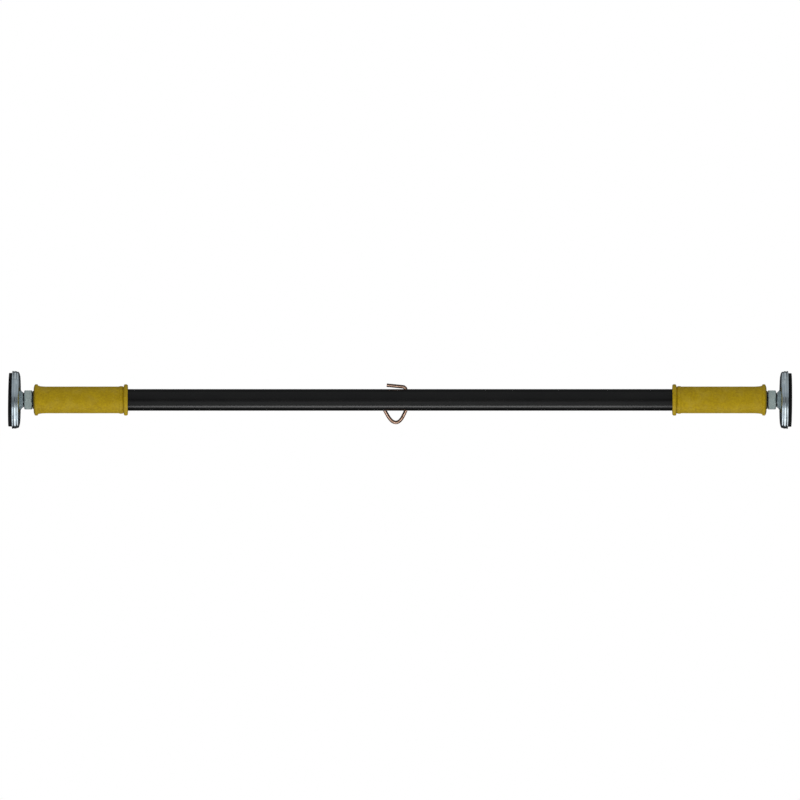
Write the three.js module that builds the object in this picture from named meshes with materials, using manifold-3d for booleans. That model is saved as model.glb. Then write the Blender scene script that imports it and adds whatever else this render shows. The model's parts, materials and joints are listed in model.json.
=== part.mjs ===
// A pull-up bar that clamps between the two sides of a doorway. X runs along the bar, Z is up, and
// the origin is the middle of the bar's axis. Each end is a screw jack: turning the hex nut, which
// bears on the bar's end bush, pushes the screw and its rubber-faced cup out against the door frame.
import * as THREE from "three";
import { mergeVertices } from "three/addons/utils/BufferGeometryUtils.js";
import Module from "manifold-3d";

const wasm = await Module();
wasm.setup();

// ---- Driving dimensions, in millimetres -------------------------------------------------------
const GAP = 0.3; // between pieces that touch
const HALF_LENGTH = 452; // middle of the bar to a pad's face, screwed right in
const TRAVEL = 45; // how far each screw comes out

const TUBE_R = 12.5;
const TUBE_WALL = 2.5;
const GRIP_INNER_END = 314.3;
const GRIP_BODY_R = 15.4;
const GRIP_BAND_R = 15.9;
const GRIP_FLANGE_R = 17.9;

const PAD_R = 31;
const PAD_PROUD = 3.6; // pad's face in front of the cup's rim
const CUP_DEPTH = 13; // rim to the top of the neck
const WASHER_THICK = 0.9;
const NUT_THICK = 9.2;
const NUT_ACROSS_FLATS = 22;
const NOSE_LENGTH = 3.8; // bush collar in front of its flange
const NOSE_R = 10.4;
const FLANGE_THICK = 3;
const BUSH_LENGTH_IN_TUBE = 21.1;
const SCREW_R = 6.85;
const SCREW_FLAT = 5.8; // guide flat, from the axis
const BORE_R = 7.3; // bush and nut
const JOURNAL_R = 4; // the screw's end, on which the cup swivels
const PIN_R = 1.5;
const PIN_HOLE_R = PIN_R + GAP;

const WIRE_R = 2;
const HOOK_X = 6.7; // the hook's upright passes through the tube here
const HOOK_HOLE_R = 2.6;

const ROUND = 24; // sides of large round pieces
const SMALL_ROUND = 20;
const PIN_ROUND = 12;

// ---- Places along one end, outwards from the middle of the bar --------------------------------
const RIM = HALF_LENGTH - PAD_PROUD;
const NECK_TOP = RIM - CUP_DEPTH;
const WASHER_OUT = NECK_TOP - GAP;
const WASHER_IN = WASHER_OUT - WASHER_THICK;
const SHOULDER = WASHER_IN - GAP; // end of the screw's thread, and of the nut
const NUT_IN = SHOULDER - NUT_THICK;
const NOSE_END = NUT_IN - GAP;
const FLANGE_OUT = NOSE_END - NOSE_LENGTH;
const FLANGE_IN = FLANGE_OUT - FLANGE_THICK;
const TUBE_END = FLANGE_IN - GAP;
const BUSH_IN = FLANGE_IN - BUSH_LENGTH_IN_TUBE;
const BUSH_PIN_AT = (FLANGE_IN + BUSH_IN) / 2;
const STOP_PIN_AT = BUSH_IN - TRAVEL - PIN_R - GAP;
const SCREW_IN = STOP_PIN_AT - 3.5;
const GRIP_OUTER_END = FLANGE_OUT + GAP + 2;

const NECK_WALL_IN = NECK_TOP + 2; // inner face of the cup's 2 mm neck
const KEEPER_IN = NECK_WALL_IN + GAP;
const KEEPER_OUT = KEEPER_IN + 1.2;
const RIVET_IN = KEEPER_OUT + GAP;
const RIVET_OUT = RIVET_IN + 1.9;

// ---- Materials --------------------------------------------------------------------------------
function material(color, roughness, metalness) {
  return new THREE.MeshStandardMaterial({ color, roughness, metalness });
}
const FINISH = {
  satinBlack: () => material(0x1b1c1e, 0.42, 0.1),
  blackSteel: () => material(0x17181a, 0.5, 0.6),
  yellowRubber: () => material(0xa88f14, 0.75, 0),
  blackRubber: () => material(0x141414, 0.85, 0),
  zincPlate: () => material(0xb9bfc4, 0.3, 0.9),
  pinSteel: () => material(0x6f7276, 0.4, 0.9),
  copperWire: () => material(0xa06a48, 0.35, 0.9),
};

// ---- Shape helpers ----------------------------------------------------------------------------
// Points of the outline through the corners, each [along, radius] or [along, radius, fillet].
function filleted(corners) {
  return corners.flatMap(([along, radius, fillet = 0], i) => {
    const corner = new THREE.Vector2(radius, along);
    if (!fillet) return [corner];
    const towards = (other) => {
      const [a, r] = corners[(other + corners.length) % corners.length];
      return new THREE.Vector2(r, a).sub(corner).normalize();
    };
    const before = towards(i - 1);
    const after = towards(i + 1);
    const half = Math.acos(before.dot(after)) / 2;
    const centre = before.clone().add(after).setLength(fillet / Math.sin(half)).add(corner);
    const start = corner.clone().addScaledVector(before, fillet / Math.tan(half)).sub(centre);
    const end = corner.clone().addScaledVector(after, fillet / Math.tan(half)).sub(centre);
    const sweep = Math.PI - 2 * half;
    const steps = Math.ceil(sweep / (Math.PI / 6));
    return Array.from({ length: steps + 1 }, (_, k) => {
      const part = (sweep * k) / steps;
      const point = start.clone().multiplyScalar(Math.sin(sweep - part));
      return point.addScaledVector(end, Math.sin(part)).divideScalar(Math.sin(sweep)).add(centre);
    });
  });
}

// A solid turned about X. An outline that starts and ends on the axis is left as it is, and any
// other closes on itself.
function turned(corners, sides = ROUND) {
  const outline = filleted(corners);
  if (outline[0].x > 0) outline.push(outline[0].clone());
  return new THREE.LatheGeometry(outline, sides).rotateZ(-Math.PI / 2);
}

// A plain or drilled disc about X between two places.
function disc(from, to, radius, hole, sides = SMALL_ROUND) {
  return turned([[from, hole], [from, radius], [to, radius], [to, hole]], sides);
}

// An upright cylinder at a place along X, between two heights.
function upright(x, low, high, radius, sides = PIN_ROUND) {
  return new THREE.CylinderGeometry(radius, radius, high - low, sides)
    .rotateX(Math.PI / 2)
    .translate(x, 0, (low + high) / 2);
}

function solidOf(geometry) {
  const bare = geometry.clone();
  bare.deleteAttribute("normal");
  bare.deleteAttribute("uv");
  const merged = mergeVertices(bare, 1e-4);
  return new wasm.Manifold(
    new wasm.Mesh({
      numProp: 3,
      vertProperties: merged.getAttribute("position").array,
      triVerts: new Uint32Array(merged.index.array),
    }),
  );
}

function geometryOf(solid) {
  const mesh = solid.getMesh();
  const geometry = new THREE.BufferGeometry();
  geometry.setAttribute("position", new THREE.BufferAttribute(mesh.vertProperties, 3));
  geometry.setIndex(new THREE.BufferAttribute(mesh.triVerts, 1));
  geometry.computeVertexNormals();
  return geometry;
}

function cut(body, ...tools) {
  return geometryOf(tools.reduce((left, tool) => left.subtract(solidOf(tool)), solidOf(body)));
}

function common(a, b) {
  return geometryOf(solidOf(a).intersect(solidOf(b)));
}

// A block below a flat that lies so far under the axis, from well inside the bar to a place.
function belowFlat(flat, to) {
  return new THREE.BoxGeometry(to, 2 * TUBE_R, TUBE_R).translate(to / 2, 0, -flat - TUBE_R / 2);
}

function piece(name, geometry, finish) {
  const mesh = new THREE.Mesh(geometry, FINISH[finish]());
  mesh.name = name;
  return mesh;
}

// ---- The bar ----------------------------------------------------------------------------------
function barTube() {
  const inner = TUBE_R - TUBE_WALL;
  const tube = disc(-TUBE_END, TUBE_END, TUBE_R, inner, ROUND);
  const reach = TUBE_R + 1;
  return cut(
    tube,
    upright(HOOK_X, -reach, reach, HOOK_HOLE_R, SMALL_ROUND),
    upright(BUSH_PIN_AT, -reach, reach, PIN_HOLE_R),
    upright(-BUSH_PIN_AT, -reach, reach, PIN_HOLE_R),
  );
}

// A moulded rubber sleeve: a flange at each end, a raised band inside the inner flange, and a lip
// that covers the bush's flange.
function grip() {
  const bore = TUBE_R + GAP;
  return turned([
    [GRIP_INNER_END, bore],
    [GRIP_INNER_END, GRIP_FLANGE_R, 2],
    [GRIP_INNER_END + 4.2, GRIP_FLANGE_R, 1.5],
    [GRIP_INNER_END + 5.3, GRIP_BODY_R],
    [GRIP_INNER_END + 5.8, GRIP_BAND_R],
    [GRIP_INNER_END + 9.7, GRIP_BAND_R, 0.4],
    [GRIP_INNER_END + 10.1, GRIP_BODY_R],
    [GRIP_OUTER_END - 13, GRIP_BODY_R],
    [GRIP_OUTER_END - 8, GRIP_BODY_R + 0.3],
    [GRIP_OUTER_END - 4.9, GRIP_BODY_R + 1],
    [GRIP_OUTER_END - 3.6, GRIP_FLANGE_R, 0.8],
    [GRIP_OUTER_END - 1.6, GRIP_FLANGE_R, 1.2],
    [GRIP_OUTER_END, 14.6, 1],
    [GRIP_OUTER_END, NOSE_R + GAP],
    [FLANGE_OUT + GAP, NOSE_R + GAP],
    [FLANGE_OUT + GAP, bore],
  ]);
}

// The hook's route, in the XZ plane: the rising arm over the tube, a tight bend, the upright
// through the tube, then a round-bottomed V that comes back up to just under the tube.
function hookRoute() {
  const armSlope = THREE.MathUtils.degToRad(5.5);
  const bendR = 3.9;
  const bendBase = 11.3;
  const tipX = -15.5;
  const quarter = Math.PI / 2 - armSlope;
  const handle = ((4 / 3) * Math.tan(quarter / 4)) * bendR; // of a cubic that follows an arc
  const at = (x, z) => new THREE.Vector3(x, 0, z);
  const bendEnd = at(
    HOOK_X - bendR + bendR * Math.cos(quarter),
    bendBase + bendR * Math.sin(quarter),
  );
  const armTip = at(tipX, bendEnd.z + (bendEnd.x - tipX) * Math.tan(armSlope));
  const armWay = armTip.clone().sub(bendEnd).normalize();
  const legTop = at(HOOK_X, -10.9);
  const legBent = at(HOOK_X - 0.75, -13.5);
  const bottom = at(-4.85, -26);
  const tip = at(-17.7, -11.7);

  const route = new THREE.CurvePath();
  route.add(new THREE.LineCurve3(armTip, bendEnd));
  route.add(
    new THREE.CubicBezierCurve3(
      bendEnd,
      bendEnd.clone().addScaledVector(armWay, -handle),
      at(HOOK_X, bendBase + handle),
      at(HOOK_X, bendBase),
    ),
  );
  route.add(new THREE.LineCurve3(at(HOOK_X, bendBase), legTop));
  route.add(new THREE.QuadraticBezierCurve3(legTop, at(HOOK_X, -12.2), legBent));
  route.add(
    new THREE.CubicBezierCurve3(legBent, at(3, -19.9), at(bottom.x + 4.5, bottom.z), bottom),
  );
  route.add(
    new THREE.CubicBezierCurve3(bottom, at(bottom.x - 5, bottom.z), at(-13.45, -19.4), tip),
  );
  return route;
}

// The wire, with its tip cut off level so that it closes the loop just short of the tube.
function wireHook() {
  const section = new THREE.Shape().absarc(0, 0, WIRE_R, 0, 2 * Math.PI);
  const wire = new THREE.ExtrudeGeometry(section, {
    extrudePath: hookRoute(),
    steps: 64,
    curveSegments: 4,
    bevelEnabled: false,
  });
  const trim = new THREE.BoxGeometry(TUBE_R, TUBE_R, TUBE_R);
  return cut(wire, trim.translate(-17, 0, TUBE_R / 2 - TUBE_R - GAP));
}

// ---- One end, built on the +X side ------------------------------------------------------------
function endBush() {
  const blank = turned([
    [BUSH_IN, 0],
    [BUSH_IN, TUBE_R - TUBE_WALL - GAP, 0.8],
    [FLANGE_IN, TUBE_R - TUBE_WALL - GAP],
    [FLANGE_IN, TUBE_R],
    [FLANGE_OUT, TUBE_R, 0.6],
    [FLANGE_OUT, NOSE_R],
    [NOSE_END, NOSE_R, 0.5],
    [NOSE_END, 0],
  ]);
  const past = 1;
  const bore = disc(BUSH_IN - past, NOSE_END + past, BORE_R, 0);
  const pinDepth = 8;
  return cut(
    blank,
    cut(bore, belowFlat(SCREW_FLAT + GAP, HALF_LENGTH)),
    upright(BUSH_PIN_AT, pinDepth, TUBE_R, PIN_HOLE_R),
    upright(BUSH_PIN_AT, -TUBE_R, -pinDepth, PIN_HOLE_R),
  );
}

// Spring pins that hold the bush in the tube, one above and one below the axis.
function bushPin(side) {
  const low = 8.3;
  const high = TUBE_R - GAP;
  return upright(BUSH_PIN_AT, side > 0 ? low : -high, side > 0 ? high : -low, PIN_R);
}

// A chamfered hexagon nut with a corner towards the front and back and flats above and below.
function hexNut() {
  const cornerR = NUT_ACROSS_FLATS / 2 / Math.cos(Math.PI / 6);
  const faceR = 9.95;
  const chamfer = (cornerR - faceR) * Math.tan(Math.PI / 6);
  const prism = new THREE.CylinderGeometry(cornerR, cornerR, NUT_THICK, 6)
    .rotateY(Math.PI / 2)
    .rotateZ(-Math.PI / 2)
    .translate((NUT_IN + SHOULDER) / 2, 0, 0);
  const turnedBlank = turned([
    [NUT_IN, BORE_R + 0.8],
    [NUT_IN, faceR],
    [NUT_IN + chamfer, cornerR + 0.05],
    [SHOULDER - chamfer, cornerR + 0.05],
    [SHOULDER, faceR],
    [SHOULDER, BORE_R + 0.8],
    [SHOULDER - 0.8, BORE_R],
    [NUT_IN + 0.8, BORE_R],
  ]);
  return common(prism, turnedBlank);
}

// The M14 screw as a plain bar of its thread's outer size, with a guide flat underneath, a
// cross hole for the stop pin, and the journal and riveted-over head that carry the cup.
function screw() {
  const blank = turned(
    [
      [SCREW_IN, 0],
      [SCREW_IN, SCREW_R - 1],
      [SCREW_IN + 1, SCREW_R],
      [SHOULDER, SCREW_R],
      [SHOULDER, JOURNAL_R],
      [RIVET_IN, JOURNAL_R],
      [RIVET_IN, 6, 0.3],
      [RIVET_OUT, 5, 0.8],
      [RIVET_OUT, 0],
    ],
    SMALL_ROUND,
  );
  return cut(
    blank,
    belowFlat(SCREW_FLAT, SHOULDER),
    upright(STOP_PIN_AT, -TUBE_R, TUBE_R, PIN_HOLE_R),
  );
}

function stopPin() {
  const halfLength = 9;
  return upright(STOP_PIN_AT, -halfLength, halfLength, PIN_R);
}

// A pressed steel cup, 2 mm thick, with a flared neck.
function endCup() {
  const outerBackR = 31.9;
  const hole = JOURNAL_R + GAP;
  return turned([
    [NECK_TOP, hole],
    [NECK_TOP, 9.1, 0.5],
    [NECK_TOP + 0.9, 9.5],
    [NECK_TOP + 2.5, 11.8, 1.5],
    [NECK_TOP + 3.2, 28.4],
    [NECK_TOP + 3.5, outerBackR - 0.6, 2.6],
    [NECK_TOP + 7, 32.5],
    [RIM - 1.2, 32.9],
    [RIM - 0.5, 33.4],
    [RIM, 33.4],
    [RIM, 31.9],
    [RIM - 0.9, 31.3],
    [NECK_TOP + 7.2, 30.5],
    [NECK_TOP + 5.3, 29.4, 1],
    [NECK_TOP + 4.7, 12.2, 1],
    [NECK_TOP + 3.4, 8.4],
    [NECK_WALL_IN, 7.3],
    [NECK_WALL_IN, hole],
  ]);
}

// A moulded pad that fills the cup, with a pocket behind it for the screw's riveted head.
function rubberPad() {
  const back = NECK_TOP + 5.6;
  return turned([
    [back + 2, 0],
    [back + 2, 13],
    [back, 13],
    [back, 28.2, 1],
    [back + 1.7, 29.7],
    [RIM + 0.4, PAD_R],
    [HALF_LENGTH, PAD_R, 0.9],
    [HALF_LENGTH, 0],
  ]);
}

// The pieces of one end, as its side's name and a group that holds them.
function barEnd(side) {
  const end = new THREE.Group();
  end.add(
    piece(side + "_grip", grip(), "yellowRubber"),
    piece(side + "_end_bush", endBush(), "blackSteel"),
    piece(side + "_bush_pin_top", bushPin(1), "pinSteel"),
    piece(side + "_bush_pin_bottom", bushPin(-1), "pinSteel"),
    piece(side + "_hex_nut", hexNut(), "zincPlate"),
    piece(side + "_screw", screw(), "zincPlate"),
    piece(side + "_stop_pin", stopPin(), "pinSteel"),
    piece(side + "_thrust_washer", disc(WASHER_IN, WASHER_OUT, 8.5, JOURNAL_R + GAP), "blackSteel"),
    piece(side + "_end_cup", endCup(), "zincPlate"),
    piece(side + "_keeper_washer", disc(KEEPER_IN, KEEPER_OUT, 6.3, JOURNAL_R + GAP), "pinSteel"),
    piece(side + "_rubber_pad", rubberPad(), "blackRubber"),
  );
  return end;
}

const bar = new THREE.Group();
bar.add(piece("bar_tube", barTube(), "satinBlack"));
bar.add(piece("wire_hook", wireHook(), "copperWire"));
bar.add(barEnd("right"));
const leftEnd = barEnd("left");
leftEnd.rotation.z = Math.PI;
bar.add(leftEnd);

export default bar;
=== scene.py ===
# Looks for the pull-up bar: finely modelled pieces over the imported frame, their materials, and
# the studio. Outlines are in millimetres along and out from the bar's axis; Blender's are metres.
import json
import math

import bmesh
import bpy
from mathutils import Matrix, Vector, noise


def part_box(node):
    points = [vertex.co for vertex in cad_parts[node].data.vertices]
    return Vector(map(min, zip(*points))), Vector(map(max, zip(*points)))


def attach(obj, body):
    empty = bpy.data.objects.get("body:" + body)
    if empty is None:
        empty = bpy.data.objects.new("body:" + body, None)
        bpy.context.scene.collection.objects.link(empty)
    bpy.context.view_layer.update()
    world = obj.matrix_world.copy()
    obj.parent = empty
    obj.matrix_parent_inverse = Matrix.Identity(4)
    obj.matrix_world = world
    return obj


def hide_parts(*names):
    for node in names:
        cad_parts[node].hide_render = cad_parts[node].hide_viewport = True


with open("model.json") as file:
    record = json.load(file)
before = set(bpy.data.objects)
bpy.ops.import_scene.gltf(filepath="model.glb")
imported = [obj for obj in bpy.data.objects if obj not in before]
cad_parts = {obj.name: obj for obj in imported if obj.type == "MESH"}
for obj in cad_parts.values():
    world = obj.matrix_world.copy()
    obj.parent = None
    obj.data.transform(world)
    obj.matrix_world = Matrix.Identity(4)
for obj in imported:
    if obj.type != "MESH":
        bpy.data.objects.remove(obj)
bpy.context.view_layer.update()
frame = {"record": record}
MM = 0.001
SIDES = ("left", "right")

BODY_OF = {
    node: body
    for body, nodes in frame["record"]["behaviour"]["bodies"].items()
    for node in nodes
}
FINE = {}  # node: the piece that stands in for it


def span(node):
    """A node's lowest and highest places along the bar, in millimetres."""
    low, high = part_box(node)
    return low.x / MM, high.x / MM


def radius(node):
    """A node's reach above the bar's axis, in millimetres."""
    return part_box(node)[1].z / MM


# ---- Places and sizes taken from the frame, in millimetres --------------------------------------
TUBE_END = span("bar_tube")[1]
TUBE_R = radius("bar_tube")
GRIP_IN, GRIP_OUT = span("right_grip")
GRIP_R = radius("right_grip")
BUSH_IN, NOSE_END = span("right_end_bush")
NUT_IN, NUT_OUT = span("right_hex_nut")
NUT_FLAT_R = radius("right_hex_nut")
WASHER_IN, WASHER_OUT = span("right_thrust_washer")
WASHER_R = radius("right_thrust_washer")
NECK_TOP, RIM = span("right_end_cup")
RIM_R = radius("right_end_cup")
PAD_BACK, PAD_FACE = span("right_rubber_pad")
PAD_R = radius("right_rubber_pad")
SCREW_IN, RIVET_OUT = span("right_screw")
SCREW_R = radius("right_screw")
KEEPER_IN, KEEPER_OUT = span("right_keeper_washer")
KEEPER_R = radius("right_keeper_washer")
STOP_PIN_AT = sum(span("right_stop_pin")) / 2
BUSH_PIN_AT = sum(span("right_bush_pin_top")) / 2
PIN_R = (span("right_stop_pin")[1] - span("right_stop_pin")[0]) / 2

# ---- Sizes that the frame doesn't give, in millimetres ------------------------------------------
GAP = 0.3  # between pieces that move on or fit into each other
TUBE_WALL = 2.5
TUBE_BORE_R = TUBE_R - TUBE_WALL
NOSE_R = 10.4  # the bush's nose, which the nut bears on
NOSE_LENGTH = 3.8
FLANGE_THICK = 3  # the bush's flange, which stops on the tube's end
FLANGE_OUT = NOSE_END - NOSE_LENGTH
FLANGE_IN = FLANGE_OUT - FLANGE_THICK
BORE_R = 7.3  # of the bush
SCREW_FLAT = 5.8  # from the axis to the screw's guide flat
JOURNAL_R = 4
CUP_PIVOT = NECK_TOP + 1  # where a cup and its pad tip on the journal
WIRE_R = 2.05
HOOK_X = 6.7
HOOK_HOLE_R = 2.6
SIDE_ROW = 100  # an outline's radius where it lies on a hexagon's or a thread's side
WELD = 0.002  # a cut mesh's points nearer than this become one
NEAR = 0.01  # radii closer than this count as the same

SHARP = math.radians(28)  # faces that meet at more than this keep a sharp edge
FILLET_STEP = math.radians(9)
PIN_SIDES = 32
PIN_BEVEL = 0.25


# ---- Mesh helpers -------------------------------------------------------------------------------
def filleted(corners, closed):
    """The outline through the corners, each (along, out) or (along, out, fillet)."""
    outline = []
    count = len(corners)
    for i, (along, out, *rest) in enumerate(corners):
        here = Vector((along, out))
        fillet = rest[0] if rest else 0
        if not fillet or (not closed and i in (0, count - 1)):
            outline.append(here)
            continue
        before = (Vector(corners[i - 1][:2]) - here).normalized()
        after = (Vector(corners[(i + 1) % count][:2]) - here).normalized()
        half = before.angle(after) / 2
        centre = here + (before + after).normalized() * (fillet / math.sin(half))
        start = here + before * (fillet / math.tan(half)) - centre
        end = here + after * (fillet / math.tan(half)) - centre
        sweep = math.pi - 2 * half
        steps = max(2, math.ceil(sweep / FILLET_STEP))
        for k in range(steps + 1):
            part = sweep * k / steps
            arm = start * math.sin(sweep - part) + end * math.sin(part)
            outline.append(arm / math.sin(sweep) + centre)
    return outline


def spaced(outline, closed, longest):
    """The outline with extra points, so that no stretch is longer than longest."""
    points = []
    last = len(outline) if closed else len(outline) - 1
    for i in range(last):
        a, b = outline[i], outline[(i + 1) % len(outline)]
        steps = max(1, math.ceil((b - a).length / longest))
        points += [a.lerp(b, k / steps) for k in range(steps)]
    if not closed:
        points.append(outline[-1])
    return points


def turned(corners, sides=128, longest=1000, shape=None, angles=None):
    """A bmesh of the outline turned about X. It may start and end on the axis, and otherwise
    closes on itself. shape(x, radius, angle) can change a point's place and radius."""
    bm = bmesh.new()
    closed = corners[0][1] > 0
    angles = angles or [2 * math.pi * k / sides for k in range(sides)]
    sides = len(angles)
    outline = spaced(filleted(corners, closed), closed, longest)
    rings = []
    for along, out in outline:
        if out < 1e-6:
            rings.append([bm.verts.new((along * MM, 0, 0))] * sides)
            continue
        ring = []
        for angle in angles:
            x, r = shape(along, out, angle) if shape else (along, out)
            ring.append(bm.verts.new((x * MM, r * math.cos(angle) * MM, r * math.sin(angle) * MM)))
        rings.append(ring)
    if closed:
        rings.append(rings[0])
    for a, b in zip(rings, rings[1:]):
        for k in range(sides):
            after = (k + 1) % sides
            corners_of_face = dict.fromkeys((a[k], a[after], b[after], b[k]))
            if len(corners_of_face) > 2:
                bm.faces.new(corners_of_face)
    bmesh.ops.recalc_face_normals(bm, faces=bm.faces)
    return bm


def clamp_below(bm, level, inside_r):
    """Flattens what lies under a level, in millimetres, and nearer the axis than a radius."""
    for vert in bm.verts:
        near = math.hypot(vert.co.y, vert.co.z) < inside_r * MM
        if near and vert.co.z < -level * MM:
            vert.co.z = -level * MM


def mesh_of(bm, name, sharp=SHARP):
    mesh = bpy.data.meshes.new(name)
    bm.to_mesh(mesh)
    bm.free()
    mesh.shade_smooth()
    mesh.set_sharp_from_angle(angle=sharp)
    return mesh


def add_object(name, mesh):
    thing = bpy.data.objects.new(name, mesh)
    bpy.context.scene.collection.objects.link(thing)
    return thing


def cut(mesh, *cutters):
    """The mesh less each cutter, a bmesh, with the slivers that this leaves welded shut."""
    for bm in cutters:
        body = add_object("cut_body", mesh)
        tool = add_object("cut_tool", mesh_of(bm, "cut_tool"))
        step = body.modifiers.new("cut", "BOOLEAN")
        step.operation = "DIFFERENCE"
        step.solver = "EXACT"
        step.object = tool
        shown = bpy.context.evaluated_depsgraph_get()
        result = bpy.data.meshes.new_from_object(body.evaluated_get(shown))
        bpy.data.objects.remove(body)
        bpy.data.objects.remove(tool)
        bpy.data.meshes.remove(mesh)
        mesh = result
    bm = bmesh.new()
    bm.from_mesh(mesh)
    bmesh.ops.remove_doubles(bm, verts=bm.verts, dist=WELD * MM)
    bmesh.ops.dissolve_degenerate(bm, edges=bm.edges, dist=WELD * MM)
    bm.to_mesh(mesh)
    bm.free()
    return mesh


def upright(x, low, high, out, sides=48, flare=0):
    """A bmesh cylinder that stands at x between two heights, its ends wider by flare, or bevelled
    where flare is negative."""
    slope = abs(flare)
    corners = [(low, 0), (low, out + flare), (low + slope, out), (high - slope, out)]
    corners += [(high, out + flare), (high, 0)]
    bm = turned(corners, sides)
    for vert in bm.verts:
        along, y, z = vert.co
        vert.co = (x * MM - z, y, along)
    return bm


def put(node, mesh, material, askew=0):
    """Stands the mesh in for a CAD node, riding on its body. One built on the right-hand side is
    tipped by askew degrees about CUP_PIVOT, and turned half round Z for the left."""
    pivot = Matrix.Translation((CUP_PIVOT * MM, 0, 0))
    mesh.transform(pivot @ Matrix.Rotation(math.radians(askew), 4, "Y") @ pivot.inverted())
    if node.startswith("left"):
        mesh.transform(Matrix.Rotation(math.pi, 4, "Z"))
    mesh.name = node + "_fine"
    mesh.materials.clear()
    mesh.materials.append(material)
    piece = add_object(node + "_fine", mesh)
    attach(piece, BODY_OF[node])
    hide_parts(node)
    FINE[node] = piece


# ---- Material helpers ---------------------------------------------------------------------------
def add_node(tree, kind, inputs=None, **settings):
    """A new node with these settings, each input set to a value or linked to a socket."""
    node = tree.nodes.new(kind)
    for key, value in settings.items():
        setattr(node, key, value)
    for key, value in (inputs or {}).items():
        if isinstance(value, bpy.types.NodeSocket):
            tree.links.new(value, node.inputs[key])
        else:
            node.inputs[key].default_value = value
    return node


class Surface:
    """A material's node tree, with short calls for what the materials here share."""

    def __init__(self, name, **constants):
        self.material = bpy.data.materials.new(name)
        self.material.use_nodes = True
        self.tree = self.material.node_tree
        self.shader = self.tree.nodes["Principled BSDF"]
        for socket, value in constants.items():
            self.shader.inputs[socket.replace("_", " ")].default_value = value
        self.place = self.add("ShaderNodeTexCoord").outputs["Object"]

    def add(self, kind, inputs=None, **settings):
        return add_node(self.tree, kind, inputs, **settings)

    def maths(self, operation, a, b):
        return self.add("ShaderNodeMath", {0: a, 1: b}, operation=operation).outputs[0]

    def stretched(self, scale, place=None):
        inputs = {0: place or self.place, 1: scale}
        return self.add("ShaderNodeVectorMath", inputs, operation="MULTIPLY").outputs[0]

    def along_and_out(self):
        """(place along X, distance from the axis, 0), in which a turned piece's marks are rings."""
        away = self.stretched((0, 1, 1))
        out = self.add("ShaderNodeVectorMath", {0: away}, operation="LENGTH").outputs["Value"]
        along = self.add("ShaderNodeSeparateXYZ", {0: self.place}).outputs["X"]
        return self.add("ShaderNodeCombineXYZ", {0: along, 1: out}).outputs[0]

    def noise(self, size_mm, place=None, detail=3, roughness=0.5, distortion=0):
        inputs = {
            "Vector": place or self.place,
            "Scale": 1 / (size_mm * MM),
            "Detail": detail,
            "Roughness": roughness,
            "Distortion": distortion,
        }
        return self.add("ShaderNodeTexNoise", inputs).outputs["Fac"]

    def between(self, value, low, high, to_low=0, to_high=1):
        inputs = {
            "Value": value,
            "From Min": low,
            "From Max": high,
            "To Min": to_low,
            "To Max": to_high,
        }
        return self.add("ShaderNodeMapRange", inputs).outputs["Result"]

    def blend(self, share, a, b):
        """Mixes two colours. A Mix node takes them at its inputs 6 and 7, and gives output 2."""
        ends = (c if isinstance(c, bpy.types.NodeSocket) else (*c, 1) for c in (a, b))
        inputs = {"Factor": share, **dict(zip((6, 7), ends))}
        return self.add("ShaderNodeMix", inputs, data_type="RGBA").outputs[2]

    def bump(self, height, depth_mm, under=None):
        inputs = {"Height": height, "Distance": depth_mm * MM, "Strength": 1}
        if under:
            inputs["Normal"] = under
        return self.add("ShaderNodeBump", inputs).outputs["Normal"]

    def finish(self, **sockets):
        for socket, value in sockets.items():
            self.tree.links.new(value, self.shader.inputs[socket.replace("_", " ")])
        return self.material


def satin_black_paint():
    s = Surface("satin_black_paint", Specular_IOR_Level=0.28, Metallic=0)
    drawn = s.noise(0.9, s.stretched((0.02, 1, 1)), detail=4)
    peel = s.noise(1.6, detail=2)
    dust = s.noise(0.35, detail=2, roughness=0.7)
    wear = s.noise(14, s.stretched((0.35, 1, 1)), detail=5, roughness=0.65)
    specks = s.between(dust, 0.74, 0.8)
    colour = s.blend(s.between(wear, 0.35, 0.75), (0.0028, 0.0028, 0.003), (0.0052, 0.0052, 0.005))
    colour = s.blend(s.maths("MULTIPLY", specks, 0.35), colour, (0.03, 0.03, 0.03))
    rough = s.between(wear, 0.3, 0.75, 0.2, 0.28)
    rough = s.maths("ADD", rough, s.between(drawn, 0.3, 0.7, -0.03, 0.03))
    normal = s.bump(peel, 0.01)
    normal = s.bump(drawn, 0.004, under=normal)
    return s.finish(Base_Color=colour, Roughness=rough, Normal=normal)


def yellow_rubber():
    s = Surface("yellow_rubber", Specular_IOR_Level=0.15, Metallic=0)
    blotch = s.noise(9, detail=5, roughness=0.6, distortion=0.4)
    mottle = s.noise(1.9, detail=4, roughness=0.7)
    grain = s.noise(0.55, detail=3, roughness=0.6)
    shade = s.maths("ADD", s.maths("MULTIPLY", blotch, 0.3), s.maths("MULTIPLY", mottle, 0.7))
    colour = s.blend(s.between(shade, 0.38, 0.62), (0.275, 0.178, 0.001), (0.395, 0.273, 0.003))
    bloom = s.between(s.noise(13, detail=4), 0.48, 0.66, 0, 0.16)
    colour = s.blend(bloom, colour, (0.46, 0.35, 0.06))
    dirt = s.between(s.noise(1.5, detail=4, roughness=0.7), 0.6, 0.7, 0, 0.6)
    colour = s.blend(dirt, colour, (0.17, 0.1, 0.004))
    rough = s.between(mottle, 0.3, 0.7, 0.5, 0.64)
    normal = s.bump(grain, 0.05)
    normal = s.bump(mottle, 0.1, under=normal)
    return s.finish(Base_Color=colour, Roughness=rough, Normal=normal)


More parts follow.
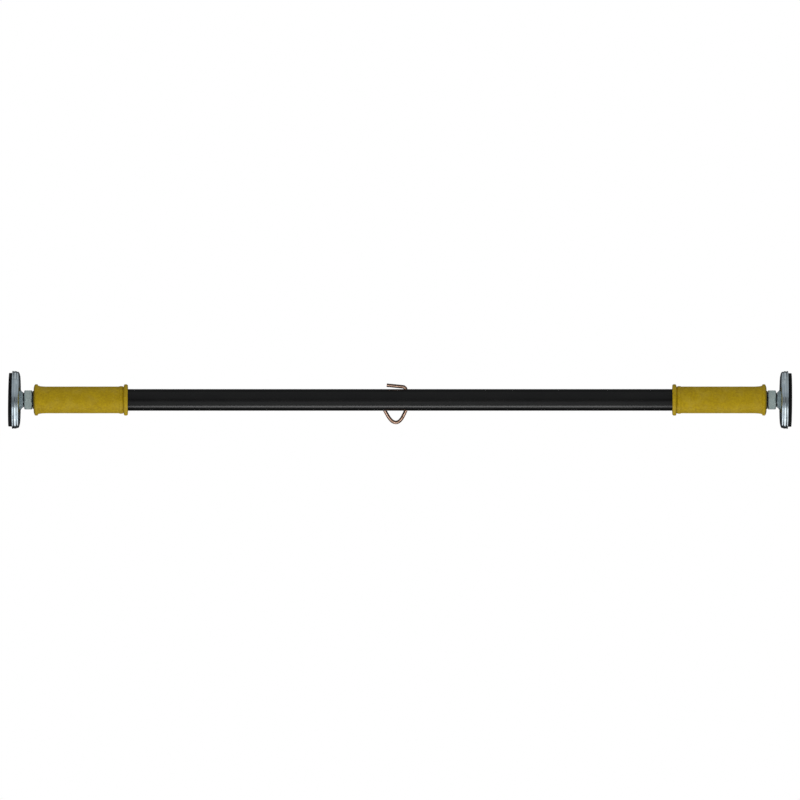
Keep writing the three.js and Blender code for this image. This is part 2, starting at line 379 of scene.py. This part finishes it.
def zinc_plate(name, dull_r=0):
    """Bright zinc, duller and greyer within a radius of the axis, in millimetres."""
    s = Surface(name, Metallic=1)
    turned_place = s.along_and_out()
    rings = s.noise(0.35, turned_place, detail=5, roughness=0.7)
    bands = s.noise(2.2, turned_place, detail=2)
    cloud = s.noise(9, detail=4, roughness=0.55)
    spots = s.noise(0.8, detail=3, roughness=0.7)
    colour = s.blend(s.between(cloud, 0.35, 0.65), (0.6, 0.7, 0.77), (0.68, 0.76, 0.79))
    colour = s.blend(s.between(bands, 0.45, 0.7, 0, 0.45), colour, (0.54, 0.66, 0.75))
    colour = s.blend(s.between(spots, 0.66, 0.78, 0, 0.5), colour, (0.36, 0.41, 0.43))
    rough = s.between(cloud, 0.3, 0.7, 0.12, 0.2)
    rough = s.maths("ADD", rough, s.between(rings, 0.3, 0.7, -0.03, 0.04))
    normal = s.bump(rings, 0.007)
    normal = s.bump(spots, 0.004, under=normal)
    if dull_r:
        fading = 2
        out = s.add("ShaderNodeSeparateXYZ", {0: turned_place}).outputs["Y"]
        dull = s.between(out, dull_r * MM, (dull_r + fading) * MM, 1, 0)
        colour = s.blend(dull, colour, (0.3, 0.38, 0.41))
        rough = s.maths("ADD", rough, s.maths("MULTIPLY", dull, 0.14))
        s.finish(Metallic=s.maths("SUBTRACT", 1, s.maths("MULTIPLY", dull, 0.7)))
    return s.finish(Base_Color=colour, Roughness=rough, Normal=normal)


def dull_zinc_plate():
    s = Surface("dull_zinc_plate", Metallic=0.12, Specular_IOR_Level=0.35)
    grain = s.noise(0.3, s.along_and_out(), detail=4, roughness=0.7)
    cloud = s.noise(4, detail=5, roughness=0.6)
    spots = s.noise(0.9, detail=3, roughness=0.7)
    colour = s.blend(s.between(cloud, 0.35, 0.65), (0.235, 0.3, 0.3), (0.295, 0.35, 0.335))
    colour = s.blend(s.between(spots, 0.62, 0.75, 0, 0.45), colour, (0.15, 0.17, 0.15))
    rough = s.between(cloud, 0.3, 0.7, 0.3, 0.42)
    normal = s.bump(grain, 0.01)
    normal = s.bump(spots, 0.015, under=normal)
    return s.finish(Base_Color=colour, Roughness=rough, Normal=normal)


def black_steel():
    s = Surface("black_steel", Metallic=0, Specular_IOR_Level=0.3)
    rings = s.noise(0.3, s.along_and_out(), detail=4, roughness=0.7)
    cloud = s.noise(3, detail=4)
    colour = s.blend(s.between(cloud, 0.35, 0.7), (0.003, 0.003, 0.004), (0.01, 0.009, 0.009))
    rough = s.between(cloud, 0.3, 0.7, 0.35, 0.5)
    return s.finish(Base_Color=colour, Roughness=rough, Normal=s.bump(rings, 0.02))


def pin_steel():
    s = Surface("pin_steel", Metallic=1)
    cloud = s.noise(1.5, detail=5, roughness=0.6)
    colour = s.blend(s.between(cloud, 0.35, 0.7), (0.2, 0.21, 0.22), (0.36, 0.36, 0.35))
    rough = s.between(cloud, 0.3, 0.7, 0.28, 0.45)
    return s.finish(Base_Color=colour, Roughness=rough, Normal=s.bump(cloud, 0.01))


def black_rubber():
    s = Surface("black_rubber", Specular_IOR_Level=0.12, Metallic=0)
    grain = s.noise(0.4, detail=3, roughness=0.6)
    chalk = s.noise(6, detail=5, roughness=0.65)
    colour = s.blend(s.between(chalk, 0.45, 0.8), (0.0022, 0.0022, 0.0025), (0.012, 0.012, 0.012))
    rough = s.between(chalk, 0.3, 0.7, 0.55, 0.75)
    return s.finish(Base_Color=colour, Roughness=rough, Normal=s.bump(grain, 0.06))


def coppered_wire():
    s = Surface("coppered_wire", Metallic=1, Specular_Tint=(0.55, 0.4, 0.3, 1))
    route = s.add("ShaderNodeUVMap", uv_map="route").outputs["UV"]
    streaks = (0.12, 0.0016, 1)
    drawn = s.noise(6, s.stretched(streaks, route), detail=5, roughness=0.7)
    tarnish = s.noise(3.2, detail=5, roughness=0.65)
    colour = s.blend(s.between(tarnish, 0.36, 0.64), (0.27, 0.18, 0.14), (0.2, 0.122, 0.084))
    colour = s.blend(s.between(drawn, 0.52, 0.7, 0, 0.6), colour, (0.1, 0.055, 0.03))
    rough = s.between(drawn, 0.3, 0.7, 0.14, 0.24)
    return s.finish(Base_Color=colour, Roughness=rough, Normal=s.bump(drawn, 0.015))


# ---- The bar ------------------------------------------------------------------------------------
def bar_tube():
    """A drawn steel tube, drilled for the hook and for the bushes' pins."""
    tube = mesh_of(
        turned(
            [
                (-TUBE_END, TUBE_BORE_R, 0.3),
                (-TUBE_END, TUBE_R, 0.3),
                (TUBE_END, TUBE_R, 0.3),
                (TUBE_END, TUBE_BORE_R, 0.3),
            ],
            sides=160,
            longest=30,
        ),
        "bar_tube",
    )
    reach = TUBE_R + GAP
    holes = [upright(HOOK_X, -reach, reach, HOOK_HOLE_R, flare=0.5)]
    holes += [
        upright(side * BUSH_PIN_AT, -reach, reach, PIN_R + GAP, sides=PIN_SIDES) for side in (-1, 1)
    ]
    tube = cut(tube, *holes)
    smooth_round(tube, TUBE_R)
    return tube


def smooth_round(mesh, out):
    """Shades the faces on the cylinder of that radius as truly round, whatever is cut in them."""
    mesh.shade_smooth()
    mesh.set_sharp_from_angle(angle=SHARP)
    normals = [Vector(n.vector) for n in mesh.corner_normals]
    for face in mesh.polygons:
        places = [mesh.vertices[i].co for i in face.vertices]
        if all(abs(math.hypot(p.y, p.z) - out * MM) < NEAR * MM for p in places):
            for loop in face.loop_indices:
                p = mesh.vertices[mesh.loops[loop].vertex_index].co
                normals[loop] = Vector((0, p.y, p.z)).normalized()
    mesh.normals_split_custom_set(normals)


def grip(side):
    """A moulded rubber sleeve with a soft, very slightly uneven surface."""
    bore = TUBE_R + GAP
    seed = Vector((0, 0, 40 if side == "left" else 0))  # so that the two grips differ
    wave, unevenness = 9, 0.07
    flange_r, band_r, body_r = GRIP_R + 0.2, 15.95, 15.45

    def soft(along, out, angle):
        in_bore = out < TUBE_R + 1
        if in_bore:
            return along, out
        p = Vector((along, out * math.cos(angle), out * math.sin(angle))) / wave + seed
        return along, out + unevenness * noise.noise(p)

    corners = [
        (GRIP_IN, bore, 0.4),
        (GRIP_IN, flange_r, 1.8),
        (GRIP_IN + 4.2, flange_r, 1.4),
        (GRIP_IN + 5.1, body_r - 0.75, 0.4),
        (GRIP_IN + 6.1, band_r, 0.4),
        (GRIP_IN + 9.4, band_r, 0.5),
        (GRIP_IN + 10, body_r, 0.6),
        (GRIP_OUT - 13, body_r, 9),
        (GRIP_OUT - 8.2, body_r + 0.3, 9),
        (GRIP_OUT - 5.1, 16.4, 1.2),
        (GRIP_OUT - 4.5, flange_r, 1.1),
        (GRIP_OUT - 1.3, flange_r, 1.5),
        (GRIP_OUT, 14.6, 1.2),
        (GRIP_OUT, NOSE_R + GAP, 0.5),
        (FLANGE_OUT + GAP, NOSE_R + GAP),
        (FLANGE_OUT + GAP, bore),
    ]
    return mesh_of(turned(corners, sides=144, longest=1.6, shape=soft), side, math.radians(50))


def hook_route():
    """The wire's centre line as (x, z) points, about half a millimetre apart."""

    def curve(*handles):
        """Points along the Bezier curve with these handles, the first of which is left out."""
        points = [Vector(h) for h in handles]
        length = sum((b - a).length for a, b in zip(points, points[1:]))
        steps = max(4, math.ceil(length / spacing))
        for k in range(1, steps + 1):
            level = points
            while len(level) > 1:
                level = [a.lerp(b, k / steps) for a, b in zip(level, level[1:])]
            yield level[0]

    spacing = 0.5
    slope = math.radians(5.5)
    bend_r, bend_base = 3.9, 11.3
    tip_x = -15.5
    turn = math.pi / 2 - slope
    handle = 4 / 3 * math.tan(turn / 4) * bend_r
    arm_way = Vector((-math.cos(slope), math.sin(slope)))
    bend_end = Vector((HOOK_X - bend_r, bend_base))
    bend_end += Vector((math.cos(turn), math.sin(turn))) * bend_r
    arm_tip = bend_end + arm_way * ((bend_end.x - tip_x) / math.cos(slope))
    leg_bent = (HOOK_X - 0.75, -13.5)
    bottom = Vector((-4.85, -26))
    route = [arm_tip]
    route += curve(arm_tip, bend_end)
    route += curve(
        bend_end, bend_end - arm_way * handle, (HOOK_X, bend_base + handle), (HOOK_X, bend_base)
    )
    route += curve((HOOK_X, bend_base), (HOOK_X, -10.9))
    route += curve((HOOK_X, -10.9), (HOOK_X, -12.2), leg_bent)
    route += curve(leg_bent, (3.1, -20), bottom + Vector((4.9, 0)), bottom)
    route += curve(bottom, bottom - Vector((5.5, 0)), (-13.7, -19.4), (-17.9, -11.6))
    return route


def wire_hook():
    """Round wire along the route, with a rounded end on its arm and a tip cut off level."""
    sides = 40
    tip_gap = 0.08
    level = -(TUBE_R + tip_gap)
    rounding, rounding_steps = 0.4, 5
    rising_side = -10
    route = hook_route()
    ways = [
        (route[min(i + 1, len(route) - 1)] - route[max(i - 1, 0)]).normalized()
        for i in range(len(route))
    ]
    bm = bmesh.new()
    route_map = bm.loops.layers.uv.new("route")
    rings = []

    def add_ring(centre, way, out, travelled, level_cut=False):
        across = Vector((-way.y, way.x))
        ring = []
        for k in range(sides):
            angle = 2 * math.pi * k / sides
            p = centre + across * (out * math.cos(angle))
            if level_cut:
                p += way * ((level - p.y) / way.y)
            ring.append(bm.verts.new((p.x * MM, out * math.sin(angle) * MM, p.y * MM)))
        rings.append((ring, travelled))

    for k in range(rounding_steps):
        angle = math.pi / 2 * k / rounding_steps
        forward = rounding * (1 - math.cos(angle))
        out = WIRE_R - rounding * (1 - math.sin(angle))
        add_ring(route[0] + ways[0] * forward, ways[0], out, forward)
    travelled = 0
    for i in range(1, len(route)):
        travelled += (route[i] - route[i - 1]).length
        rising = ways[i].y > 0 and route[i].x < rising_side
        last = rising and route[i].y + WIRE_R > level - GAP
        if travelled > rounding:
            add_ring(route[i], ways[i], WIRE_R, travelled, level_cut=last)
        if last:
            break
    for (ring, place), (next_ring, next_place) in zip(rings, rings[1:]):
        for k in range(sides):
            after = (k + 1) % sides
            face = bm.faces.new((ring[k], ring[after], next_ring[after], next_ring[k]))
            around = (k / sides, (k + 1) / sides, (k + 1) / sides, k / sides)
            along = (place, place, next_place, next_place)
            for loop, u, v in zip(face.loops, around, along):
                loop[route_map].uv = (u, v)
    bm.faces.new(rings[0][0])
    bm.faces.new(rings[-1][0])
    bmesh.ops.recalc_face_normals(bm, faces=bm.faces)
    return mesh_of(bm, "wire_hook", math.radians(40))


# ---- One end, built on the right-hand side ------------------------------------------------------
def end_bush():
    inner = TUBE_BORE_R - GAP
    bm = turned(
        [
            (BUSH_IN, BORE_R, 0.4),
            (BUSH_IN, inner, 0.8),
            (FLANGE_IN, inner),
            (FLANGE_IN, TUBE_R, 0.3),
            (FLANGE_OUT, TUBE_R, 0.6),
            (FLANGE_OUT, NOSE_R, 0.2),
            (NOSE_END, NOSE_R, 0.5),
            (NOSE_END, BORE_R, 0.5),
        ],
        longest=4,
    )
    clamp_below(bm, SCREW_FLAT + GAP, BORE_R + NEAR)
    hole_end = 8
    return cut(
        mesh_of(bm, "end_bush"),
        upright(BUSH_PIN_AT, hole_end, TUBE_R, PIN_R + GAP, sides=PIN_SIDES),
        upright(BUSH_PIN_AT, -TUBE_R, -hole_end, PIN_R + GAP, sides=PIN_SIDES),
    )


def hex_nut():
    """A hexagon with slightly rounded corners and a 30 degree chamfer on both faces."""
    face_r = 9.95
    nut_bore_r = BORE_R - 0.2
    corner_fillet = 0.8
    half_steps, flat_steps = 2, 16
    sixth = math.pi / 3
    middle_x = (NUT_IN + NUT_OUT) / 2
    centre_r = (NUT_FLAT_R - corner_fillet) / math.cos(sixth / 2)
    flat_ends = math.atan((NUT_FLAT_R - corner_fillet) * math.tan(sixth / 2) / NUT_FLAT_R)
    corner_half = sixth / 2 - flat_ends
    angles = []
    for corner in range(6):
        middle = corner * sixth
        angles += [
            middle + corner_half * k / half_steps for k in range(-half_steps, half_steps + 1)
        ]
        angles += [
            middle + corner_half + flat_ends * 2 * k / flat_steps for k in range(1, flat_steps)
        ]

    def reach(angle):
        """Distance from the axis to the hexagon's side."""
        off = abs((angle + sixth / 2) % sixth - sixth / 2)
        if off > corner_half:
            return NUT_FLAT_R / math.cos(sixth / 2 - off)
        side = centre_r * math.sin(off)
        return centre_r * math.cos(off) + math.sqrt(corner_fillet**2 - side**2)

    def shape(along, out, angle):
        """Rows near SIDE_ROW lie on the hexagon: those under it on the chamfer, and those over it
        as far past the chamfer's edge as they exceed it."""
        if out < SIDE_ROW / 2:
            return along, out
        past = out - SIDE_ROW
        r = reach(angle) + min(0, past)
        depth = (reach(angle) - face_r) * math.tan(sixth / 2) + past
        return (NUT_IN + depth if along < middle_x else NUT_OUT - depth), r

    corners = [
        (NUT_IN, BORE_R + 0.7),
        (NUT_IN, face_r),
        (NUT_IN + 0.1, SIDE_ROW - 0.12),
        (NUT_IN + 0.2, SIDE_ROW + 0.12),
        (NUT_IN + 0.3, SIDE_ROW + 2),
        (NUT_OUT - 0.3, SIDE_ROW + 2),
        (NUT_OUT - 0.2, SIDE_ROW + 0.12),
        (NUT_OUT - 0.1, SIDE_ROW - 0.12),
        (NUT_OUT, face_r),
        (NUT_OUT, BORE_R + 0.7),
        (NUT_OUT - 0.9, nut_bore_r),
        (NUT_IN + 0.9, nut_bore_r),
    ]
    return mesh_of(turned(corners, shape=shape, angles=angles), "hex_nut", math.radians(20))


def screw():
    """The screw: an M14x2 right-hand thread with a guide flat, then the journal and rivet head."""
    pitch = 2.0
    depth = 1.15
    root_r = SCREW_R - depth
    shoulder = NUT_OUT
    rivet_in = KEEPER_OUT + GAP
    end_bevel, under_root = 1.2, 0.2
    run_out = 2.5
    thread_end = shoulder - 0.6
    rows_per_turn = 14
    hole_sides = 40

    def groove(phase):
        """How deep the thread is there, from 0 on the crest to 1 in the root."""
        crest, flank = 0.125, 0.625
        from_crest = abs(phase - 0.5) * 2
        return min(1, max(0, (1 - from_crest - crest) / flank))

    def shape(along, out, angle):
        if out < SIDE_ROW:
            return along, out
        phase = (along / pitch - angle / (2 * math.pi)) % 1
        fade = min(1, max(0, (thread_end - along) / run_out))
        cut_r = SCREW_R - depth * groove(phase) * fade
        bevel_r = root_r - under_root
        bevel_r += max(0, along - SCREW_IN) * (depth + under_root) / end_bevel
        return along, min(cut_r, bevel_r)

    steps = math.ceil((shoulder - SCREW_IN) / pitch * rows_per_turn)
    corners = [(SCREW_IN, 0)]
    corners += [
        (SCREW_IN + (shoulder - SCREW_IN) * k / steps, SIDE_ROW) for k in range(steps + 1)
    ]
    corners += [
        (shoulder, JOURNAL_R),
        (rivet_in, JOURNAL_R),
        (rivet_in, 6, 0.3),
        (RIVET_OUT, 5, 0.8),
        (RIVET_OUT, 0),
    ]
    bm = turned(corners, sides=72, shape=shape)
    clamp_below(bm, SCREW_FLAT, SCREW_R + NEAR)
    hole = upright(STOP_PIN_AT, -TUBE_R, TUBE_R, PIN_R + GAP, sides=hole_sides)
    mesh = cut(mesh_of(bm, "screw"), hole)
    mesh.shade_smooth()
    mesh.set_sharp_from_angle(angle=math.radians(35))
    return mesh


def pin(x, low, high):
    return upright(x, low, high, PIN_R, sides=PIN_SIDES, flare=-PIN_BEVEL)


def stop_pin():
    half = radius("right_stop_pin")
    return mesh_of(pin(STOP_PIN_AT, -half, half), "stop_pin")


def bush_pin(name):
    low, high = (corner.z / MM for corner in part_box("right_" + name))
    return mesh_of(pin(BUSH_PIN_AT, low, high), name)


def thrust_washer():
    return washer(WASHER_IN, WASHER_OUT, WASHER_R)


def keeper_washer():
    return washer(KEEPER_IN, KEEPER_OUT, KEEPER_R)


def washer(start, end, out):
    hole = JOURNAL_R + GAP
    corners = [(start, hole, 0.1), (start, out, 0.25), (end, out, 0.25), (end, hole, 0.1)]
    return mesh_of(turned(corners, sides=96, longest=1.5), "washer")


def end_cup():
    """A pressed steel cup, 2 mm thick, with a flared neck, a rolled lip and a rolled side."""
    hole = JOURNAL_R + GAP
    lip = RIM - 0.6
    wave, unevenness = 14, 0.04
    corners = [
        (NECK_TOP, hole, 0.15),
        (NECK_TOP, 9.1, 0.5),
        (NECK_TOP + 1.1, 9.6, 1.5),
        (NECK_TOP + 2.7, 12, 1.6),
        (NECK_TOP + 3.2, 28.2, 20),
        (NECK_TOP + 4.1, 30.7, 1.6),
        (NECK_TOP + 5.2, 32.5, 0.6),
        (NECK_TOP + 6.4, 32.55, 0.3),
        (NECK_TOP + 6.9, 32.4, 0.3),
        (NECK_TOP + 7.6, 33.15, 0.4),
        (NECK_TOP + 9.7, 33.2, 0.4),
        (NECK_TOP + 10.3, 32.75, 0.3),
        (lip - 1.1, RIM_R, 0.5),
        (lip, RIM_R, 0.45),
        (lip, 31.9, 0.4),
        (RIM - 0.9, 31.3, 0.6),
        (NECK_TOP + 7.2, 30.5, 4),
        (NECK_TOP + 5.3, 29.4, 1.2),
        (NECK_TOP + 4.7, 12.2, 1.2),
        (NECK_TOP + 3.4, 8.4, 0.8),
        (NECK_TOP + 2, 7.3, 0.4),
        (NECK_TOP + 2, hole, 0.15),
    ]

    def pressed(along, out, angle):
        p = Vector((along, out * math.cos(angle), out * math.sin(angle))) / wave
        return along, out + unevenness * noise.noise(p) * min(1, out / RIM_R)

    return mesh_of(turned(corners, sides=192, longest=2, shape=pressed), "cup", math.radians(40))


def rubber_pad():
    """A moulded pad with a slightly crowned, ribbed face and a pocket for the rivet head."""
    crown = 0.15
    groove_depth, groove_width, slant, rib = 0.8, 1.2, 0.2, 3.2
    top_fillet, bottom_fillet = 0.2, 0.25
    plain_border, plain_middle = 2.6, 6
    pocket_depth, pocket_r = 2, 13

    def face(out, below=0):
        return PAD_FACE - crown * (out / PAD_R) ** 2 - below

    corners = [
        (PAD_BACK + pocket_depth, 0),
        (PAD_BACK + pocket_depth, pocket_r, 0.4),
        (PAD_BACK, pocket_r, 0.4),
        (PAD_BACK, 28.2, 1),
        (PAD_BACK + 1.7, 29.7, 1),
        (RIM + 0.4, PAD_R, 2),
        (face(PAD_R), PAD_R, 0.7),
    ]
    out = PAD_R - plain_border
    while out > plain_middle:
        for r, below, fillet in (
            (out, 0, top_fillet),
            (out - slant, groove_depth, bottom_fillet),
            (out - groove_width + slant, groove_depth, bottom_fillet),
            (out - groove_width, 0, top_fillet),
        ):
            corners.append((face(r, below), r, fillet))
        out -= groove_width + rib
    corners.append((PAD_FACE, 0))
    return mesh_of(turned(corners, sides=160, longest=3), "pad", math.radians(40))


# ---- Put the pieces in place --------------------------------------------------------------------
zinc, cup_zinc = zinc_plate("zinc_plate"), zinc_plate("cup_zinc_plate", dull_r=12)
dull_zinc, black, pins = dull_zinc_plate(), black_steel(), pin_steel()
yellow, rubber = yellow_rubber(), black_rubber()
# How far the ends are tipped, in degrees: the photo's aren't quite square.
CUP_TIP = {"left": -0.35, "right": 0.3}
PAD_TIP = {"left": -0.85, "right": 0.3}
put("bar_tube", bar_tube(), satin_black_paint())
put("wire_hook", wire_hook(), coppered_wire())
for side in SIDES:
    tip = CUP_TIP[side]
    put(side + "_grip", grip(side), yellow)
    put(side + "_end_bush", end_bush(), black)
    put(side + "_bush_pin_top", bush_pin("bush_pin_top"), pins)
    put(side + "_bush_pin_bottom", bush_pin("bush_pin_bottom"), pins)
    put(side + "_hex_nut", hex_nut(), dull_zinc)
    put(side + "_screw", screw(), zinc)
    put(side + "_stop_pin", stop_pin(), pins)
    put(side + "_thrust_washer", thrust_washer(), black)
    put(side + "_end_cup", end_cup(), cup_zinc, tip)
    put(side + "_keeper_washer", keeper_washer(), pins, tip)
    put(side + "_rubber_pad", rubber_pad(), rubber, PAD_TIP[side])


# ---- Studio, in metres --------------------------------------------------------------------------
FLOOR_R = 6
FLOOR_DROP = 0.9
END_X = 0.45
SIDE_LIGHT_X = 1.08


def studio_world():
    """White behind the object and soft light all round. Reflections see a dimmer surround: grey
    ahead with a dark line at the horizon, nearly black behind and below, and grey to the sides."""
    world = bpy.data.worlds.new("studio")
    bpy.context.scene.world = world
    world.use_nodes = True
    tree = world.node_tree
    tree.nodes.clear()

    def add(kind, inputs=None, **settings):
        return add_node(tree, kind, inputs, **settings)

    def mixed(share, a, b):
        inputs = {0: share, 1: a.outputs[0], 2: b.outputs[0]}
        return add("ShaderNodeMixShader", inputs)

    def ramp(value, low, high, to_low, to_high):
        ends = {"Value": value, "From Min": low, "From Max": high}
        ends.update({"To Min": to_low, "To Max": to_high})
        return add("ShaderNodeMapRange", ends, interpolation_type="SMOOTHSTEP").outputs["Result"]

    def maths(operation, a, b=0.0):
        return add("ShaderNodeMath", {0: a, 1: b}, operation=operation).outputs[0]

    way = add("ShaderNodeTexCoord").outputs["Generated"]
    across, back, up = add("ShaderNodeSeparateXYZ", {0: way}).outputs
    horizon = ramp(maths("ABSOLUTE", up), 0.12, 0.28, 0.22, 1)
    behind = ramp(back, -0.15, 0.4, 0.38, ramp(up, -0.5, 0.3, 0.02, 0.09))
    beside = ramp(up, -0.6, 0.5, 0.1, 0.33)
    aside = ramp(maths("ABSOLUTE", across), 0.3, 0.65, 0, 1)
    ahead = maths("MULTIPLY", maths("MULTIPLY", horizon, behind), maths("SUBTRACT", 1, aside))
    surround = maths("ADD", ahead, maths("MULTIPLY", beside, aside))
    filling = ramp(back, -1, 1, 0.72, 0.5)
    seen_by = add("ShaderNodeLightPath").outputs
    glossy = add("ShaderNodeBackground", {"Color": (0.94, 0.98, 1, 1), "Strength": surround})
    diffuse = add("ShaderNodeBackground", {"Color": (1, 1, 1, 1), "Strength": filling})
    white = add("ShaderNodeBackground", {"Color": (1, 1, 1, 1), "Strength": 1.0})
    light = mixed(seen_by["Is Glossy Ray"], diffuse, glossy)
    seen = mixed(seen_by["Is Camera Ray"], light, white)
    add("ShaderNodeOutputWorld", {"Surface": seen.outputs[0]})


def pale_floor():
    """A round matt floor well below the bar, which its finishes don't mirror."""
    bm = bmesh.new()
    bmesh.ops.create_circle(bm, cap_ends=True, segments=64, radius=FLOOR_R)
    floor = add_object("floor", mesh_of(bm, "floor"))
    floor.location.z = -FLOOR_DROP
    paint = Surface("pale_floor", Base_Color=(0.92, 0.92, 0.92, 1), Roughness=0.9)
    floor.data.materials.append(paint.material)
    floor.visible_glossy = False


def soft_light(name, below, away, size, radiance, x=0, nodes=(), mirrored=True):
    """A soft rectangular light, as many degrees below the horizontal in front of the bar as below
    says, facing the bar. It may fall on the pieces of some nodes alone, or not be mirrored."""
    data = bpy.data.lights.new(name, "AREA")
    data.shape = "RECTANGLE"
    data.size, data.size_y = size
    data.energy = radiance * math.pi * size[0] * size[1]
    light = add_object(name, data)
    angle = math.radians(below)
    light.location = (x, -away * math.cos(angle), -away * math.sin(angle))
    light.rotation_euler = (math.pi / 2 + angle, 0, 0)
    light.visible_camera = False
    light.visible_glossy = mirrored
    if nodes:
        lit = bpy.data.collections.new(name)
        for node in nodes:
            lit.objects.link(FINE[node])
        light.light_linking.receiver_collection = lit


BAR = [node for node in FINE if node == "bar_tube" or "grip" in node]
NUTS = [side + "_hex_nut" for side in SIDES]
ENDS = [node for node in FINE if node not in BAR + NUTS + ["wire_hook"]]
studio_world()
pale_floor()
soft_light("centre_fill", 12, 1.2, (0.5, 0.8), 3.4, mirrored=False)
soft_light("strip_below", 76, 0.65, (0.68, 0.21), 4.6, nodes=BAR)
soft_light("low_front", 38, 1.6, (0.8, 1), 0.4)
soft_light("centre_front", 0, 1.6, (0.66, 0.5), 0.22)
soft_light("centre_patch", 24, 1.6, (0.2, 0.25), 0.4)
soft_light("hook_front", 15, 0.6, (1, 0.16), 6.2, nodes=["wire_hook"])
soft_light("hook_below", 78, 0.6, (0.6, 0.15), 4.4, nodes=["wire_hook"])
soft_light("hook_rear", 168, 0.6, (1, 0.28), 3, nodes=["wire_hook"])
for side in (-1, 1):
    end = side * END_X
    soft_light("end_front", 59, 0.7, (0.26, 0.75), 0.92, end, ENDS)
    soft_light("end_low", 105, 0.7, (0.26, 0.55), 1.2, end, ENDS)
    soft_light("end_high", -58, 0.7, (0.3, 0.8), 0.07, end, ENDS)
    soft_light("end_top", -117, 0.7, (0.3, 0.6), 0.4, end, ENDS)
    soft_light("nut_high", -30, 0.7, (0.3, 0.3), 3, end, NUTS)
    soft_light("nut_low", 50, 0.7, (0.3, 0.3), 1.15, end, NUTS)
    for name, below in (("side_front", -58), ("side_rear", -122)):
        soft_light(
            name, below, 1.3, (0.8, 0.3), 2.5, side * SIDE_LIGHT_X, ["bar_tube", "wire_hook"]
        )

# ---- Camera, in metres --------------------------------------------------------------------------
FRAME_WIDTH = 0.9237
CAMERA_AWAY = 16
CAMERA_OFF = 0.0001  # the photo's centre lies this far left of the bar's middle and below it
camera_data = bpy.data.cameras.new("camera")
camera_data.lens = camera_data.sensor_width * CAMERA_AWAY / FRAME_WIDTH
camera = add_object("camera", camera_data)
camera.location = (-CAMERA_OFF, -CAMERA_AWAY, -CAMERA_OFF)
camera.rotation_euler = (math.pi / 2, 0, 0)
bpy.context.scene.camera = camera
bpy.context.scene.view_settings.view_transform = "Standard"
